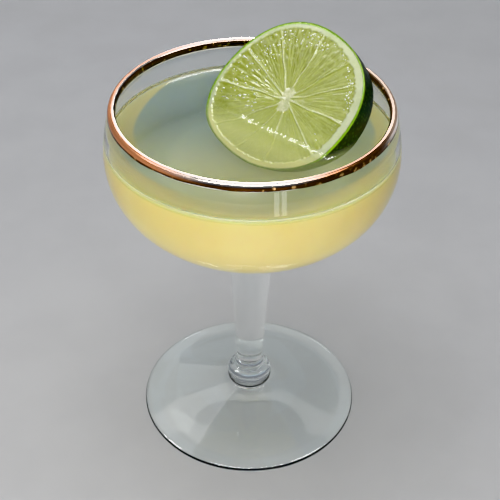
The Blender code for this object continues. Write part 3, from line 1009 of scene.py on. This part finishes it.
def make_beads():
    """Drops of juice on the cut face, where its sacs have burst."""
    draw = random.Random(4)
    points, faces = [], []
    for i in range(BEADS):
        middle, spread, low, high, stretch = BEAD_SECTORS[i % len(BEAD_SECTORS)]
        angle = math.radians(draw.gauss(middle, spread / 1.5))
        away = LIME_RADIUS * blend(low, high, draw.random() ** 0.7)
        spot = Vector((away * math.cos(angle), away * math.sin(angle), -BEAD_SINK))
        if (LIME_PLACE @ spot).z < LEVEL_Z + BEAD_CLEAR:
            continue
        radius = blend(*BEAD_RADII, draw.random() ** 2) * MM
        along = Vector((math.cos(angle), math.sin(angle), 0.0))
        made_points, made_faces = bead(spot, along, radius * blend(1.0, stretch, draw.random()), radius)
        first = len(points)
        points += [LIME_PLACE @ point for point in made_points]
        faces += [tuple(first + corner for corner in face) for face in made_faces]
    made = piece("juice_beads", np.array(points), faces, juice_material())
    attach(made, "root")
    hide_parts("lime_wheel")


# ---- floor, lights and camera ----

def make_floor():
    mesh = bpy.data.meshes.new("floor")
    corners = [(x * FLOOR_HALF, y * FLOOR_HALF, FLOOR_Z) for x, y in ((-1, -1), (1, -1), (1, 1), (-1, 1))]
    mesh.from_pydata(corners, [], [(0, 1, 2, 3)])
    mesh.materials.append(floor_material())
    floor = bpy.data.objects.new("floor", mesh)
    bpy.context.scene.collection.objects.link(floor)


def softbox(name, place_at, aim, size, power, colour=WHITE):
    """A rectangular lamp that the camera doesn't see, aimed at a point."""
    lamp = bpy.data.lights.new(name, "AREA")
    lamp.shape = "RECTANGLE"
    lamp.size, lamp.size_y = size
    lamp.energy = power
    lamp.color = colour
    made = bpy.data.objects.new(name, lamp)
    bpy.context.scene.collection.objects.link(made)
    made.location = place_at
    made.rotation_mode = "QUATERNION"
    made.rotation_quaternion = (Vector(aim) - Vector(place_at)).to_track_quat("-Z", "Y")
    made.visible_camera = False
    return made


def linked_group(name, pieces, state):
    group = bpy.data.collections.new(name)
    for made in pieces:
        group.objects.link(made)
    for linked in group.collection_objects:
        linked.light_linking.link_state = state
    return group


def lights_only(lamp, pieces, state):
    """The lamp lights only these pieces, or all but these."""
    lamp.light_linking.receiver_collection = linked_group(lamp.name + "_lit", pieces, state)


def passes(lamp, pieces):
    """These pieces cast no shadow in the lamp's light."""
    lamp.light_linking.blocker_collection = linked_group(lamp.name + "_passing", pieces, "EXCLUDE")


def make_lights(gilding, lime):
    """Soft light for all, small lamps for the glints, and lamps for the gilding alone."""
    drink = (0.0, 0.0, LEVEL_Z)
    key = softbox("key", (-0.25, 0.10, 1.30), drink, (1.4, 1.4), 1.0, DAYLIGHT)
    soft = softbox("soft", (-0.25, 0.10, 1.31), drink, (1.4, 1.4), 8.6, DAYLIGHT)
    passes(soft, [lime, gilding])
    sparks = (softbox("spark", (-0.62, 0.37, 1.14), drink, (0.25, 0.25), 8.0),
              softbox("over", (0.0, -0.22, 1.30), drink, (0.9, 0.17), 25.0),
              softbox("right_spark", (0.48, 0.14, 1.16), drink, (0.5, 0.3), 12.0))
    for spark in sparks:
        spark.visible_diffuse = False
    softbox("window", (-0.10, 1.05, 0.78), drink, (0.5, 0.45), 0.3, (0.60, 0.80, 1.0))
    low_front = softbox("low_front", (-0.1, -0.95, 0.16), (0.0, 0.0, 0.08), (0.5, 0.3), 7.8,
                        (1.0, 0.97, 0.93))
    low_front.visible_glossy = False
    low_front.visible_transmission = False
    for (x, y), aim_x in STRIPS:
        strip = softbox("low_strip", (x, y, STRIP_Z), (aim_x, STRIP_AIM_Y, STRIP_Z), (0.0135, 0.040), 0.0065)
        strip.visible_diffuse = False
        strip.visible_transmission = False
    horizon = softbox("horizon", (0.0, 1.3, 0.40), drink, (0.5, 0.85), 34.0)
    glow = softbox("glow", (-0.62, 1.05, 0.36), drink, (0.6, 0.6), 0.5, (1.0, 0.72, 0.5))
    # a lamp for the gilding alone, lighting its painted highlight from the front
    highlight_lamp = softbox("highlight_lamp", (0.0, -0.9, 0.5), drink, (0.6, 0.4), 10.0)
    highlight_lamp.visible_glossy = False
    for lamp in (horizon, glow, highlight_lamp):
        lights_only(lamp, [gilding], "INCLUDE")
    for lamp in (key, soft, low_front):
        lights_only(lamp, [gilding], "EXCLUDE")
    world = bpy.data.worlds.new("studio")
    bpy.context.scene.world = world
    world.use_nodes = True
    back = world.node_tree.nodes["Background"]
    back.inputs["Color"].default_value = (0.84, 0.90, 1.0, 1.0)
    back.inputs["Strength"].default_value = 0.24


def make_camera():
    data = bpy.data.cameras.new("camera")
    data.lens = CAMERA_LENS
    data.sensor_width = SENSOR
    data.sensor_fit = "HORIZONTAL"
    data.clip_start = 0.01
    camera = bpy.data.objects.new("camera", data)
    bpy.context.scene.collection.objects.link(camera)
    look = Vector((0.0, math.cos(CAMERA_PITCH), -math.sin(CAMERA_PITCH)))
    right, up = Vector((1.0, 0.0, 0.0)), Vector((0.0, math.sin(CAMERA_PITCH), math.cos(CAMERA_PITCH)))
    c, s = math.cos(CAMERA_ROLL), math.sin(CAMERA_ROLL)
    axes = (c * right + s * up, c * up - s * right, -look)
    turn = Matrix(axes).transposed().to_4x4()
    camera.matrix_world = Matrix.Translation(CAMERA_PLACE) @ turn
    bpy.context.scene.camera = camera


def main():
    bpy.context.scene.view_settings.view_transform = "Khronos PBR Neutral"
    make_glass()
    gilding = make_gilding()
    make_cloud()
    make_surface()
    lime = make_lime()
    make_beads()
    make_floor()
    make_lights(gilding, lime)
    make_camera()


main()
